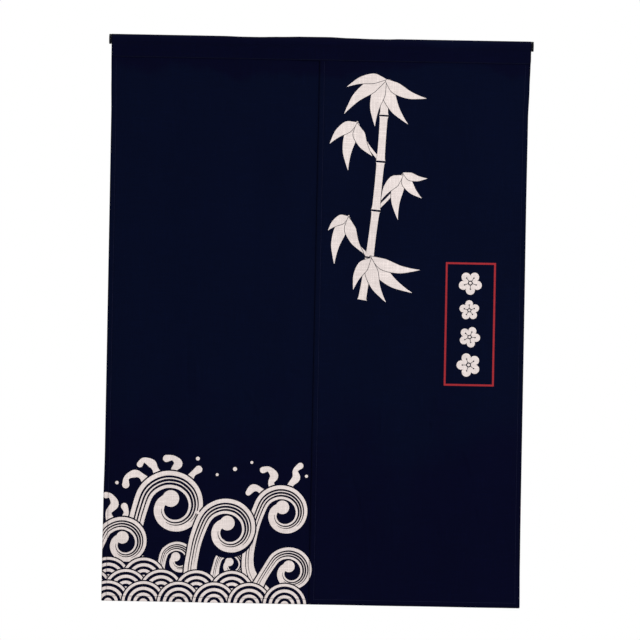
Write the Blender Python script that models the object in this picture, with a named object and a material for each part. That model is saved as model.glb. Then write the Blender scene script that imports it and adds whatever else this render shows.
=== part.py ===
"""A noren: a door curtain of two navy linen panels that hang, one lapped over the other, from a
heading sleeve on a plain round rod with an end cap at each end.

Metres, +Z up. The front faces -Y, and +X is to the right as seen from the front. The origin lies on
the rod's axis, halfway along it. A drop is a distance below that axis.
"""

import math
from collections import namedtuple

import bmesh
import bpy
from mathutils import Vector
from mathutils.geometry import interpolate_bezier

# Rod and end caps
OVERALL_WIDTH = 0.8653
ROD_DIAMETER = 0.016
CAP_DIAMETER = 0.0204
CAP_LENGTH = 0.0045
CAP_END_WALL = 0.0014
CAP_EDGE_ROUND = 0.0012
ROUND_SIDES = 32
EDGE_ROUND_STEPS = 3
SHARP_ANGLE = math.radians(35)

# Cloth
FIT_GAP = 0.0003
CLOTH_THICKNESS = 0.0012
HEM_THICKNESS = 0.0020
SIDE_HEM = 0.011
BOTTOM_HEM = 0.013
HEM_STEP = 0.001
DROP = 1.1453

# Heading sleeve: a strip folded over the rod, its two legs sewn through the tops of the panels
SLEEVE_EDGE_DROP = 0.0364
SLEEVE_FLAT_DROP = 0.0190
SLEEVE_SLACK = 0.0009
SLEEVE_HUG_ANGLE = math.radians(40)
SLEEVE_ARC_STEPS = 13
SLEEVE_NECK_STEPS = 4
SLEEVE_LEG_STEPS = 2
SLEEVE_SPANS = 34
SEAM_PLAY = 0.0001

# Panels: tucked between the sleeve's legs, the right one in front of the left one at the slit
PANEL_TOP_DROP = 0.0225
HEM_START_DROP = 0.0385
SLIT_TOP_X = -0.0026
SLIT_LEAN = -0.0020
LAP_WIDTH = 0.010
LAP_PLATEAU = 0.016
LAP_FADE = 0.060
LAP_SPREAD = (HEM_THICKNESS + FIT_GAP + SEAM_PLAY) / 2
PANEL_COLUMNS = 22
PANEL_ROWS = 24

# Folds: they open out below the sleeve and ease off again towards the stiff bottom hem
FOLDS_FULL_DROP = 0.200
FOLDS_EASE_DROP = 0.800
FOLDS_AT_HEM = 0.65

SideRow = namedtuple("SideRow", "drop left right")
SIDE_EDGES = (
    SideRow(-0.0110, -0.4278, 0.4278),
    SideRow(0.0280, -0.4276, 0.4278),
    SideRow(0.0380, -0.4276, 0.4272),
    SideRow(0.0850, -0.4270, 0.4260),
    SideRow(0.1500, -0.4259, 0.4241),
    SideRow(0.3300, -0.4258, 0.4237),
    SideRow(0.6200, -0.4259, 0.4240),
    SideRow(0.8400, -0.4260, 0.4240),
    SideRow(0.9400, -0.4272, 0.4240),
    SideRow(1.0600, -0.4278, 0.4244),
    SideRow(1.1453, -0.4278, 0.4253),
)

TopRow = namedtuple("TopRow", "x lift")
SLEEVE_TOP = (
    TopRow(-0.4300, 0.0000),
    TopRow(-0.2000, 0.0000),
    TopRow(-0.1600, -0.0009),
    TopRow(-0.1300, -0.0009),
    TopRow(-0.0850, 0.0002),
    TopRow(-0.0400, 0.0013),
    TopRow(0.0150, 0.0015),
    TopRow(0.0600, 0.0000),
    TopRow(0.1050, -0.0009),
    TopRow(0.1350, -0.0009),
    TopRow(0.1600, -0.0001),
    TopRow(0.4300, 0.0000),
)

FoldRow = namedtuple("FoldRow", "x half_width depth lean")
FOLDS = (
    FoldRow(-0.389, 0.034, -0.0026, 0.006),
    FoldRow(-0.312, 0.040, 0.0030, 0.010),
    FoldRow(-0.224, 0.046, -0.0027, -0.008),
    FoldRow(-0.131, 0.040, 0.0032, 0.007),
    FoldRow(-0.052, 0.034, -0.0020, 0.002),
    FoldRow(0.060, 0.038, 0.0024, -0.004),
    FoldRow(0.142, 0.044, -0.0031, 0.009),
    FoldRow(0.239, 0.048, 0.0029, -0.006),
    FoldRow(0.325, 0.038, -0.0028, 0.008),
    FoldRow(0.394, 0.032, 0.0022, 0.004),
)

Finish = namedtuple("Finish", "name colour roughness metallic")
NAVY_CLOTH = Finish("navy_cloth", (0.0024, 0.0040, 0.0152), 0.92, 0.0)
DARK_PAINT = Finish("dark_paint", (0.0050, 0.0060, 0.0130), 0.45, 0.0)
BLACK_RUBBER = Finish("black_rubber", (0.0065, 0.0070, 0.0100), 0.60, 0.0)


def ease(share):
    """0 to 1 in a soft S, held level outside that range."""
    share = min(1.0, max(0.0, share))
    return share * share * (3 - 2 * share)


def read_table(rows, at, key, column):
    """A column of a table at a place between its rows, softly joined."""
    for lower, upper in zip(rows, rows[1:]):
        start, end = getattr(lower, key), getattr(upper, key)
        if at <= end:
            share = ease((at - start) / (end - start))
            return getattr(lower, column) * (1 - share) + getattr(upper, column) * share
    return getattr(rows[-1], column)


def side_x(drop, side):
    """The cloth's left or right outer edge at a drop."""
    return read_table(SIDE_EDGES, drop, "drop", side)


def slit_x(drop):
    """The right panel's inner edge, which shows as the slit."""
    return SLIT_TOP_X + SLIT_LEAN * drop / DROP


def lap(x):
    """1 where the panels lie one on the other, falling softly to 0 on both sides."""
    away = abs(x - SLIT_TOP_X) - LAP_PLATEAU
    return 1 - ease(away / LAP_FADE)


def fold_strength(drop):
    """How far the folds have opened at a drop, as a share of their full depth."""
    opened = ease((drop - SLEEVE_EDGE_DROP) / (FOLDS_FULL_DROP - SLEEVE_EDGE_DROP))
    eased = ease((drop - FOLDS_EASE_DROP) / (DROP - FOLDS_EASE_DROP))
    return opened * (1 - (1 - FOLDS_AT_HEM) * eased)


def hang_depth(x, drop):
    """Where the hanging cloth's middle lies along Y: soft upright folds, each a rounded ridge."""
    depth = 0.0
    for fold in FOLDS:
        centre = fold.x + fold.lean * drop / DROP
        depth += fold.depth * math.exp(-(((x - centre) / fold.half_width) ** 2))
    return depth * fold_strength(drop)


def add_piece(name, mesh, finish, parent):
    """A named object with its own material under the given parent."""
    material = bpy.data.materials.new(finish.name + "_" + name)
    material.use_nodes = True
    shader = material.node_tree.nodes["Principled BSDF"]
    shader.inputs["Base Color"].default_value = (*finish.colour, 1.0)
    shader.inputs["Roughness"].default_value = finish.roughness
    shader.inputs["Metallic"].default_value = finish.metallic
    mesh.materials.append(material)
    piece = bpy.data.objects.new(name, mesh)
    bpy.context.collection.objects.link(piece)
    piece.parent = parent
    return piece


def closed_mesh(name, bm):
    """The mesh of a closed body, its faces pointing out."""
    bmesh.ops.recalc_face_normals(bm, faces=bm.faces)
    mesh = bpy.data.meshes.new(name)
    bm.to_mesh(mesh)
    bm.free()
    return mesh


def turned(name, profile):
    """A solid turned about X from an outline of (x, radius) points, both ends on the axis."""
    bm = bmesh.new()
    rings = []
    for x, radius in profile[1:-1]:
        ring = []
        for step in range(ROUND_SIDES):
            angle = math.tau * step / ROUND_SIDES
            ring.append(bm.verts.new((x, radius * math.cos(angle), radius * math.sin(angle))))
        rings.append(ring)
    first = bm.verts.new((profile[0][0], 0, 0))
    last = bm.verts.new((profile[-1][0], 0, 0))
    for step in range(ROUND_SIDES):
        following = (step + 1) % ROUND_SIDES
        bm.faces.new((first, rings[0][step], rings[0][following]))
        bm.faces.new((last, rings[-1][following], rings[-1][step]))
        for ring, outer in zip(rings, rings[1:]):
            bm.faces.new((ring[step], outer[step], outer[following], ring[following]))
    mesh = closed_mesh(name, bm)
    mesh.shade_smooth()
    mesh.set_sharp_from_angle(angle=SHARP_ANGLE)
    return mesh


def rod_mesh():
    """The plain round rod, its ends just short of the caps' end walls."""
    radius = ROD_DIAMETER / 2
    end = OVERALL_WIDTH / 2 - CAP_END_WALL - FIT_GAP
    return turned("rod", [(-end, 0), (-end, radius), (end, radius), (end, 0)])


def cap_mesh(name, side):
    """A push-on end cap: a short cup over the rod's end, its outer rim rounded."""
    face = OVERALL_WIDTH / 2
    rim = face - CAP_LENGTH
    radius = CAP_DIAMETER / 2
    bore = ROD_DIAMETER / 2 + FIT_GAP
    outline = [(face - CAP_END_WALL, 0), (face - CAP_END_WALL, bore), (rim, bore), (rim, radius)]
    for step in range(EDGE_ROUND_STEPS + 1):
        angle = math.pi / 2 * step / EDGE_ROUND_STEPS
        outline.append((face - CAP_EDGE_ROUND * (1 - math.sin(angle)),
                        radius - CAP_EDGE_ROUND * (1 - math.cos(angle))))
    outline.append((face, 0))
    return turned(name, [(side * x, radius) for x, radius in outline])


def sleeve_middle(x):
    """The middle line of the sleeve's cross-section at x, as (y, z) points, front leg to back leg."""
    arc_step = (math.pi + 2 * SLEEVE_HUG_ANGLE) / SLEEVE_ARC_STEPS
    hug = (ROD_DIAMETER / 2 + FIT_GAP) / math.cos(arc_step / 2) + CLOTH_THICKNESS / 2
    lift = SLEEVE_SLACK + read_table(SLEEVE_TOP, x, "x", "lift")
    leg_y = CLOTH_THICKNESS + FIT_GAP + SEAM_PLAY + LAP_SPREAD * lap(x)
    arc = []
    for step in range(SLEEVE_ARC_STEPS + 1):
        angle = step * arc_step - SLEEVE_HUG_ANGLE
        upward = max(0.0, math.sin(angle)) ** 2
        arc.append(Vector((-hug * math.cos(angle), hug * math.sin(angle) + lift * upward)))
    leaving = Vector((math.sin(SLEEVE_HUG_ANGLE), -math.cos(SLEEVE_HUG_ANGLE)))
    flat_start = Vector((-leg_y, -SLEEVE_FLAT_DROP))
    reach = (arc[0].y - flat_start.y) / 2
    neck = interpolate_bezier(flat_start, flat_start + Vector((0, reach)),
                              arc[0] + leaving * reach, arc[0], SLEEVE_NECK_STEPS + 1)
    leg = []
    for step in range(SLEEVE_LEG_STEPS):
        share = step / SLEEVE_LEG_STEPS
        drop = SLEEVE_EDGE_DROP + (SLEEVE_FLAT_DROP - SLEEVE_EDGE_DROP) * share
        leg.append(Vector((-leg_y, -drop)))
    front = leg + [point.to_2d() for point in neck[:-1]]
    back = [Vector((-point.x, point.y)) for point in reversed(front)]
    return front + arc + back


def offset_line(line, distance):
    """An open line moved sideways, away from the rod for a positive distance."""
    moved = []
    for index, point in enumerate(line):
        before = line[max(index - 1, 0)]
        after = line[min(index + 1, len(line) - 1)]
        along = (after - before).normalized()
        moved.append(point + Vector((-along.y, along.x)) * distance)
    return moved


def sleeve_mesh():
    """The heading sleeve, swept from one end of the cloth to the other."""
    bm = bmesh.new()
    sections = []
    for span in range(SLEEVE_SPANS + 1):
        share = span / SLEEVE_SPANS
        place = side_x(0, "left") * (1 - share) + side_x(0, "right") * share
        middle = sleeve_middle(place)
        outline = offset_line(middle, CLOTH_THICKNESS / 2)
        outline += reversed(offset_line(middle, -CLOTH_THICKNESS / 2))
        section = []
        for y, z in outline:
            x = side_x(-z, "left") * (1 - share) + side_x(-z, "right") * share
            section.append(bm.verts.new((x, y, z)))
        sections.append(section)
    points = len(sections[0])
    wall = points // 2
    for section, following in zip(sections, sections[1:]):
        for index in range(points):
            after = (index + 1) % points
            bm.faces.new((section[index], section[after], following[after], following[index]))
    for section in (sections[0], sections[-1]):
        for index in range(wall - 1):
            inner = points - 1 - index
            bm.faces.new((section[index], section[index + 1], section[inner - 1], section[inner]))
    mesh = closed_mesh("heading_sleeve", bm)
    mesh.shade_smooth()
    mesh.set_sharp_from_angle(angle=SHARP_ANGLE)
    return mesh


def spread(start, end, count):
    """Evenly spaced values from start to end, both included."""
    return [start + (end - start) * step / count for step in range(count + 1)]


def panel_columns(inner, outer):
    """Places across a panel from its inner to its outer edge, and whether each is in a hem."""
    way = 1 if outer > inner else -1
    first = inner + way * SIDE_HEM
    last = outer - way * SIDE_HEM
    half = way * HEM_STEP / 2
    columns = [(inner, True), (first - half, True)]
    columns += [(x, False) for x in spread(first + half, last - half, PANEL_COLUMNS)]
    columns += [(last + half, True), (outer, True)]
    return columns


def panel_rows():
    """Drops down a panel, and whether each is above the hems, between them or in the bottom hem."""
    rows = [(PANEL_TOP_DROP, "tuck"), (HEM_START_DROP - HEM_STEP, "tuck"), (HEM_START_DROP, "field")]
    last = DROP - BOTTOM_HEM
    upper = spread(HEM_START_DROP, last - HEM_STEP / 2, PANEL_ROWS)
    rows += [(drop, "field") for drop in upper[1:]]
    rows += [(last + HEM_STEP / 2, "hem"), (DROP, "hem")]
    return rows


def panel_mesh(name, outer_side, inner_shift, towards):
    """A hanging panel: a sheet with its side and bottom hems turned to the back.

    inner_shift is how far its inner edge lies past the slit line, and towards is the way along Y
    in which it gives room to the other panel where they lap.
    """
    bm = bmesh.new()
    front, back = [], []
    for drop, zone in panel_rows():
        front_row, back_row = [], []
        for x, in_side_hem in panel_columns(slit_x(drop) + inner_shift, side_x(drop, outer_side)):
            doubled = zone == "hem" or (zone == "field" and in_side_hem)
            thickness = HEM_THICKNESS if doubled else CLOTH_THICKNESS
            y = hang_depth(x, drop) + towards * LAP_SPREAD * lap(x) - CLOTH_THICKNESS / 2
            front_row.append(bm.verts.new((x, y, -drop)))
            back_row.append(bm.verts.new((x, y + thickness, -drop)))
        front.append(front_row)
        back.append(back_row)
    for sheet in (front, back):
        for row, below in zip(sheet, sheet[1:]):
            for index in range(len(row) - 1):
                bm.faces.new((row[index], row[index + 1], below[index + 1], below[index]))
    for front_row, back_row in ((front[0], back[0]), (front[-1], back[-1])):
        for index in range(len(front_row) - 1):
            bm.faces.new((front_row[index], front_row[index + 1],
                          back_row[index + 1], back_row[index]))
    for side in (0, -1):
        for row in range(len(front) - 1):
            bm.faces.new((front[row][side], front[row + 1][side],
                          back[row + 1][side], back[row][side]))
    mesh = closed_mesh(name, bm)
    mesh.shade_smooth()
    mesh.set_sharp_from_angle(angle=SHARP_ANGLE)
    return mesh


def build():
    """Clear the scene and make every piece."""
    for old in list(bpy.data.objects):
        bpy.data.objects.remove(old)
    hanging = bpy.data.objects.new("hanging_point", None)
    bpy.context.collection.objects.link(hanging)
    add_piece("rod", rod_mesh(), DARK_PAINT, hanging)
    add_piece("end_cap_left", cap_mesh("end_cap_left", -1), BLACK_RUBBER, hanging)
    add_piece("end_cap_right", cap_mesh("end_cap_right", 1), BLACK_RUBBER, hanging)
    add_piece("heading_sleeve", sleeve_mesh(), NAVY_CLOTH, hanging)
    add_piece("panel_left", panel_mesh("panel_left", "left", LAP_WIDTH, 1), NAVY_CLOTH, hanging)
    add_piece("panel_right", panel_mesh("panel_right", "right", 0.0, -1), NAVY_CLOTH, hanging)


build()
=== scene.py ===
"""The looks of a noren: two lapped navy linen panels that hang from a heading sleeve on a plain rod.

Metres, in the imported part's frame: the origin on the rod's axis, the printed front facing -Y. A drop
is a distance below the rod's axis. The cloth lies on the solids' own folds, and its print is dyed
into it: a spray of bamboo, four plum blossoms in a red frame, and a sea of curling waves.
"""
import math
from collections import namedtuple

import bpy
import numpy as np
from mathutils import Matrix, Vector
from mathutils.geometry import delaunay_2d_cdt
from mathutils.kdtree import KDTree


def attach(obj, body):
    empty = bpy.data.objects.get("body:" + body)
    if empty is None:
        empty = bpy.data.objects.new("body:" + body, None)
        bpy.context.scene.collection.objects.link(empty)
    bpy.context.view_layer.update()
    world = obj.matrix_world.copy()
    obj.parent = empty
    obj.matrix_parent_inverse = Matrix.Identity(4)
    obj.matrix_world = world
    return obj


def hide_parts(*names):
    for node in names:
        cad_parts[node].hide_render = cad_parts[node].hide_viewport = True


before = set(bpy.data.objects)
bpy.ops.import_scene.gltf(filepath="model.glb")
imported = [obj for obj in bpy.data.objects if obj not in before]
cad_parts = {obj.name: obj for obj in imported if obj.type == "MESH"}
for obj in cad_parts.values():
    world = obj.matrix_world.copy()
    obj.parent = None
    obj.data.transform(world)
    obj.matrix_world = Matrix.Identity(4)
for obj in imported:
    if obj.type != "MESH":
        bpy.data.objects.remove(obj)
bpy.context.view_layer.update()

# The part's own sizes, as in its source
OVERALL_WIDTH = 0.8653
ROD_DIAMETER = 0.016
CAP_DIAMETER = 0.0204
CAP_LENGTH = 0.0045
CAP_END_WALL = 0.0014
CAP_EDGE_ROUND = 0.0012
FIT_GAP = 0.0003
CLOTH_THICKNESS = 0.0012
HEM_THICKNESS = 0.0020
SIDE_HEM = 0.011
BOTTOM_HEM = 0.013
HEM_STEP = 0.001
DROP = 1.1453
SLEEVE_EDGE_DROP = 0.0364
SLEEVE_FLAT_DROP = 0.0190
SLEEVE_SLACK = 0.0009
SLEEVE_HUG_ANGLE = math.radians(40)
SEAM_PLAY = 0.0001
PANEL_TOP_DROP = 0.0225
HEM_START_DROP = 0.0385
SLIT_TOP_X = -0.0026
SLIT_LEAN = -0.0020
LAP_WIDTH = 0.010
LAP_PLATEAU = 0.016
LAP_FADE = 0.060
LAP_SPREAD = (HEM_THICKNESS + FIT_GAP + SEAM_PLAY) / 2
FOLDS_FULL_DROP = 0.200
FOLDS_EASE_DROP = 0.800
FOLDS_AT_HEM = 0.65

# Rows of drop, left edge, right edge
SIDE_EDGES = (
    (-0.0110, -0.4278, 0.4278),
    (0.0280, -0.4276, 0.4278),
    (0.0380, -0.4276, 0.4272),
    (0.0850, -0.4270, 0.4260),
    (0.1500, -0.4259, 0.4241),
    (0.3300, -0.4258, 0.4237),
    (0.6200, -0.4259, 0.4240),
    (0.8400, -0.4260, 0.4240),
    (0.9400, -0.4272, 0.4240),
    (1.0600, -0.4278, 0.4244),
    (1.1453, -0.4278, 0.4253),
)
LEFT_EDGE = 1
RIGHT_EDGE = 2

# Rows of x, lift of the sleeve's top
SLEEVE_TOP = (
    (-0.4300, 0.0000),
    (-0.2000, 0.0000),
    (-0.1600, -0.0009),
    (-0.1300, -0.0009),
    (-0.0850, 0.0002),
    (-0.0400, 0.0013),
    (0.0150, 0.0015),
    (0.0600, 0.0000),
    (0.1050, -0.0009),
    (0.1350, -0.0009),
    (0.1600, -0.0001),
    (0.4300, 0.0000),
)

Fold = namedtuple("Fold", "x half_width depth lean")
FOLDS = (
    Fold(-0.389, 0.034, -0.0026, 0.006),
    Fold(-0.312, 0.040, 0.0030, 0.010),
    Fold(-0.224, 0.046, -0.0027, -0.008),
    Fold(-0.131, 0.040, 0.0032, 0.007),
    Fold(-0.052, 0.034, -0.0020, 0.002),
    Fold(0.060, 0.038, 0.0024, -0.004),
    Fold(0.142, 0.044, -0.0031, 0.009),
    Fold(0.239, 0.048, 0.0029, -0.006),
    Fold(0.325, 0.038, -0.0028, 0.008),
    Fold(0.394, 0.032, 0.0022, 0.004),
)

# Soft creases pressed into the cloth, placed one by one. A ridge stands out to the front, a negative one
# lies back.
Crease = namedtuple("Crease", "x0 drop0 x1 drop1 bow half_width ridge")
CREASES = (
    Crease(-0.262, 0.575, -0.254, 0.775, 0.003, 0.0045, -0.0014),
    Crease(-0.244, 0.640, -0.240, 0.762, -0.002, 0.0050, 0.0013),
    Crease(-0.262, 0.716, -0.206, 0.676, 0.006, 0.0060, 0.0011),
    Crease(-0.146, 0.700, -0.106, 0.776, -0.004, 0.0050, 0.0013),
    Crease(-0.214, 0.822, -0.158, 0.786, 0.005, 0.0060, -0.0014),
    Crease(-0.392, 0.792, -0.345, 0.770, 0.004, 0.0060, 0.0011),
    Crease(-0.300, 0.800, -0.288, 0.880, -0.003, 0.0050, -0.0011),
    Crease(-0.064, 0.662, -0.014, 0.684, 0.004, 0.0055, -0.0011),
    Crease(-0.096, 0.330, -0.118, 0.430, 0.005, 0.0065, 0.0010),
    Crease(-0.330, 0.250, -0.304, 0.330, -0.004, 0.0065, -0.0008),
    Crease(0.066, 0.840, 0.110, 1.030, -0.004, 0.0045, -0.0014),
    Crease(0.050, 0.768, 0.062, 0.868, 0.004, 0.0050, 0.0011),
    Crease(0.112, 0.990, 0.124, 1.120, 0.003, 0.0050, 0.0013),
    Crease(0.132, 0.728, 0.138, 0.806, -0.002, 0.0045, 0.0013),
    Crease(0.142, 0.826, 0.200, 0.742, 0.007, 0.0060, -0.0014),
    Crease(0.150, 0.925, 0.160, 1.016, -0.003, 0.0045, -0.0011),
    Crease(0.240, 0.706, 0.236, 0.816, 0.003, 0.0045, -0.0014),
    Crease(0.204, 0.694, 0.256, 0.790, 0.008, 0.0060, 0.0013),
    Crease(0.298, 0.812, 0.330, 0.902, -0.005, 0.0050, 0.0013),
    Crease(0.238, 0.868, 0.296, 0.826, -0.006, 0.0060, -0.0011),
    Crease(0.330, 0.926, 0.338, 0.992, 0.002, 0.0045, -0.0010),
    Crease(0.332, 0.596, 0.390, 0.632, 0.005, 0.0060, -0.0010),
    Crease(0.258, 0.938, 0.282, 1.030, 0.005, 0.0060, 0.0011),
    Crease(0.288, 0.150, 0.302, 0.262, -0.005, 0.0065, 0.0008),
)

# Fine shape of the cloth
MESH_STEP = 0.005
SAME_POINT = 1e-6
LEAST_AREA = 1e-13
LOOP_CLEARANCE = 0.0018
CREASED_FROM = 0.06
# Shares of a crease's length over which it comes up and dies away
CREASE_RISE = 0.3
CREASE_FALL = 0.4
CORNER_ROUND = 0.0022
CORNER_ANGLES = (15, 75, 15)
# Places in from a cloth's rim
RIM_STEPS = (0.0, 0.0001, 0.0003, 0.0006, 0.0010)
SIDE_STITCH = 0.0098
BOTTOM_STITCH = 0.0104
STITCH_GROOVE = 0.00036
GROOVE_HALF = 0.0013
# Loops of the mesh beside a stitch line, in half widths of its groove
GROOVE_LOOPS = (-1.4, -0.7, 0.0, 0.35)
HEM_LOOP_TOP = 0.002
HEM_PUCKER = 0.00012
HEM_PUCKER_PITCH = 0.013
HEM_PUCKER_REACH = 0.008
GATHER_RIDGE = 0.00045
GATHER_HOLLOW = 0.2
GATHER_PITCH = 0.0085
GATHER_START = 0.006
GATHER_END_DROP = 0.085
GATHER_SEED = 13
PANEL_EDGE_SHADE = 0.0016

# Stitches
STITCH_PITCH = 0.0031
STITCH_LENGTH = 0.0027
THREAD_WIDTH = 0.00048
STITCH_RISE = 0.00030
STITCH_SINK = 0.55
STITCH_STEPS = 6
THREAD_SIDES = 6
STITCH_WOBBLE = 0.07
STITCH_LEAST = (0.93, 0.9, 0.85)
STITCH_MOST = (1.04, 1.1, 1.1)

# The cloth as cut: finished size plus what its hems turn in
PANEL_CUT = (0.454, 1.149)


def ease(share):
    """0 to 1 in a soft S, held level outside that range."""
    share = np.clip(share, 0.0, 1.0)
    return share * share * (3 - 2 * share)


def read_table(rows, at, column):
    """A column of a table at places between its rows, softly joined."""
    keys = np.array([row[0] for row in rows])
    values = np.array([row[column] for row in rows])
    at = np.asarray(at, float)
    index = np.clip(np.searchsorted(keys, at) - 1, 0, len(keys) - 2)
    share = ease((at - keys[index]) / (keys[index + 1] - keys[index]))
    return values[index] * (1 - share) + values[index + 1] * share


def spread(start, end, step):
    """Even places from start to end, both included, about a step apart."""
    return np.linspace(start, end, max(2, round(abs(end - start) / step) + 1))


WANDER_VALUES = 2048
WANDER_START = 500


def uneven(at, pitch, seed):
    """A smooth wander from -1 to 1 along a length, with a new value every pitch."""
    values = np.random.default_rng(seed).uniform(-1, 1, WANDER_VALUES)
    place = np.asarray(at, float) / pitch + WANDER_START
    index = np.floor(place).astype(int)
    share = ease(place - index)
    return values[index] * (1 - share) + values[index + 1] * share


def lap(x):
    """1 where the panels lie one on the other, falling softly to 0 on both sides."""
    return 1 - ease((np.abs(x - SLIT_TOP_X) - LAP_PLATEAU) / LAP_FADE)


def hang_depth(x, drop):
    """Where the hanging cloth's middle lies along Y: the solids' soft upright folds."""
    opened = ease((drop - SLEEVE_EDGE_DROP) / (FOLDS_FULL_DROP - SLEEVE_EDGE_DROP))
    eased = ease((drop - FOLDS_EASE_DROP) / (DROP - FOLDS_EASE_DROP))
    depth = 0.0
    for fold in FOLDS:
        centre = fold.x + fold.lean * drop / DROP
        depth = depth + fold.depth * np.exp(-(((x - centre) / fold.half_width) ** 2))
    return depth * opened * (1 - (1 - FOLDS_AT_HEM) * eased)


def crease_shares(x, drop):
    """Each crease, and how fully places lie on its ridge: 1 on its middle, 0 well away."""
    for crease in CREASES:
        run_x, run_drop = crease.x1 - crease.x0, crease.drop1 - crease.drop0
        length = math.hypot(run_x, run_drop)
        along = ((x - crease.x0) * run_x + (drop - crease.drop0) * run_drop) / length ** 2
        across = ((drop - crease.drop0) * run_x - (x - crease.x0) * run_drop) / length
        across = across - crease.bow * np.sin(np.pi * np.clip(along, 0, 1))
        fade = ease(along / CREASE_RISE) * ease((1 - along) / CREASE_FALL)
        yield crease, fade * np.exp(-((across / crease.half_width) ** 2))


def crease_ridge(x, drop):
    """How far the creases stand out to the front."""
    return sum(crease.ridge * share for crease, share in crease_shares(x, drop))


# The print, in (x, drop), each patch dyed over the ones before it
NAVY, WHITE, RED = "navy", "white", "red"
Patch = namedtuple("Patch", "dye loop")


def smooth_line(knots, steps):
    """A smooth line through a few knots, each a tuple of numbers, with some steps a span."""
    line = []
    for index in range(len(knots) - 1):
        before = knots[max(index - 1, 0)]
        start, end = knots[index], knots[index + 1]
        after = knots[min(index + 2, len(knots) - 1)]
        for step in range(steps):
            t = step / steps
            line.append(tuple(
                0.5 * (2 * b + (c - a) * t + (2 * a - 5 * b + 4 * c - d) * t * t
                       + (3 * b - a - 3 * c + d) * t * t * t)
                for a, b, c, d in zip(before, start, end, after)))
    line.append(tuple(knots[-1]))
    return line


POINTED_BELOW = 0.0004
ROUND_END_STEPS = 6


def round_end(tip, inner):
    """The half circle that ends a stroke, without the two corners that it joins."""
    x, drop, half = tip
    if half < POINTED_BELOW:
        return []
    heading = math.atan2(drop - inner[1], x - inner[0])
    angles = [heading + math.pi / 2 - math.pi * step / ROUND_END_STEPS
              for step in range(1, ROUND_END_STEPS)]
    return [(x + half * math.cos(angle), drop + half * math.sin(angle)) for angle in angles]


def stroke(line, rounded=True):
    """The outline of a stroke along (x, drop, half width) points."""
    left, right = [], []
    for index, (x, drop, half) in enumerate(line):
        before, after = line[max(index - 1, 0)], line[min(index + 1, len(line) - 1)]
        run_x, run_drop = after[0] - before[0], after[1] - before[1]
        scale = half / (math.hypot(run_x, run_drop) or 1.0)
        left.append((x - run_drop * scale, drop + run_x * scale))
        right.append((x + run_drop * scale, drop - run_x * scale))
    if not rounded:
        return left + right[::-1]
    return left + round_end(line[-1], line[-2]) + right[::-1] + round_end(line[0], line[1])


def disc(x, drop, radius, points=40):
    """A round spot."""
    angles = [math.tau * point / points for point in range(points)]
    return [(x + radius * math.cos(angle), drop + radius * math.sin(angle)) for angle in angles]


def box(left, right, top, bottom):
    """An upright rectangle."""
    return [(left, top), (right, top), (right, bottom), (left, bottom)]


# The sea: scales of overlapping waves along the hem, curling waves above them, and foam
SCALE_RINGS = ((1.00, WHITE), (0.88, NAVY), (0.74, WHITE), (0.60, NAVY), (0.47, WHITE), (0.33, NAVY),
               (0.20, WHITE))
SCALE_RADIUS = 0.044
SCALE_EDGE = 1.06
SCALE_SPACING = 0.072
# Rows of x of the first, drop, how many
SCALE_ROWS = ((-0.414, 1.100, 2), (-0.450, 1.124, 5), (-0.414, 1.148, 6))

# A wave's half width by the share of its length, from its foot in the sea to its curl's eye
WAVE_SWELL = ((0.00, 1.60), (0.22, 0.86), (0.42, 0.92), (0.60, 1.00), (0.80, 0.74), (1.00, 0.52))
WAVE_EYE = 1.9
WAVE_OUTLINE = 0.0030
CURL_KNOTS = 13
CURL_CLOSING = 0.72
CURL_HASTE = 1.1
GROOVE_TIP = 0.0001
GROOVE_FULLNESS = 0.6
# Fine lines along a wave, by shares of its half width and of its length
Groove = namedtuple("Groove", "side half start end")
GROOVES = (
    Groove(0.50, 0.150, 0.10, 0.86),
    Groove(0.08, 0.145, 0.04, 0.74),
    Groove(-0.34, 0.125, 0.02, 0.60),
)
# Each wave's tail, the centre and size of its curl, the angle at which the curl starts, its turns, and
# the wave's half width as a share of that size
Wave = namedtuple("Wave", "tail x drop size start turns weight")
WAVES = (
    Wave(((-0.196, 1.120), (-0.198, 1.092)), -0.163, 1.068, 0.030, 196, 1.10, 0.29),
    Wave(((-0.306, 1.130), (-0.309, 1.092)), -0.272, 1.060, 0.032, 196, 1.10, 0.29),
    Wave(((-0.250, 1.150), (-0.340, 1.098), (-0.362, 1.015)), -0.286, 0.952, 0.064, 186, 1.20, 0.27),
    Wave(((-0.080, 1.150), (-0.128, 1.082), (-0.124, 1.005)), -0.060, 0.962, 0.050, 190, 1.20, 0.28),
    Wave(((-0.185, 1.160), (-0.243, 1.105), (-0.242, 1.040)), -0.172, 0.998, 0.056, 192, 1.20, 0.27),
    Wave(((-0.430, 1.150), (-0.446, 1.075)), -0.384, 1.028, 0.046, 200, 1.16, 0.28),
    Wave(((-0.120, 1.165), (-0.112, 1.116)), -0.044, 1.080, 0.043, 200, 1.16, 0.28),
)
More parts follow.
